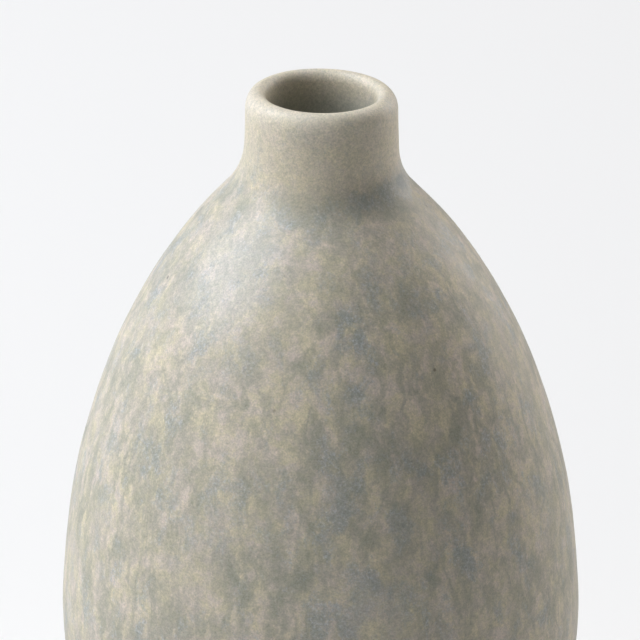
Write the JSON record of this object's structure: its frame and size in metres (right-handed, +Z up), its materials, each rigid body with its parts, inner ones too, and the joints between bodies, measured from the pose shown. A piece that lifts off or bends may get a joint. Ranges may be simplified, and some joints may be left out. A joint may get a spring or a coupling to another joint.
{
  "type": "sake bottle",
  "caption": "Round-bellied glazed stoneware sake bottle with a short neck, rolled lip and foot ring, for warming sake and pouring it through a narrow mouth.",
  "frame": {"origin": "centre of the foot ring, on the plane the bottle stands on", "axes": "+Z up along the bottle's axis of revolution, towards the mouth; +X and +Y are equivalent"},
  "size_m": [0.086, 0.086, 0.1388],
  "materials": {
    "clay": "bare fired stoneware, rough",
    "outer_glaze": "matt mottled ash glaze, beige, grey-green and blue-grey",
    "inner_glaze": "satin mottled ash glaze, thinner and browner",
    "base_glaze": "matt mottled ash glaze"
  },
  "bodies": {
    "root": {"clay_body": "clay", "outer_glaze": "outer_glaze", "inner_glaze": "inner_glaze", "base_glaze": "base_glaze"}
  },
  "joints": []
}
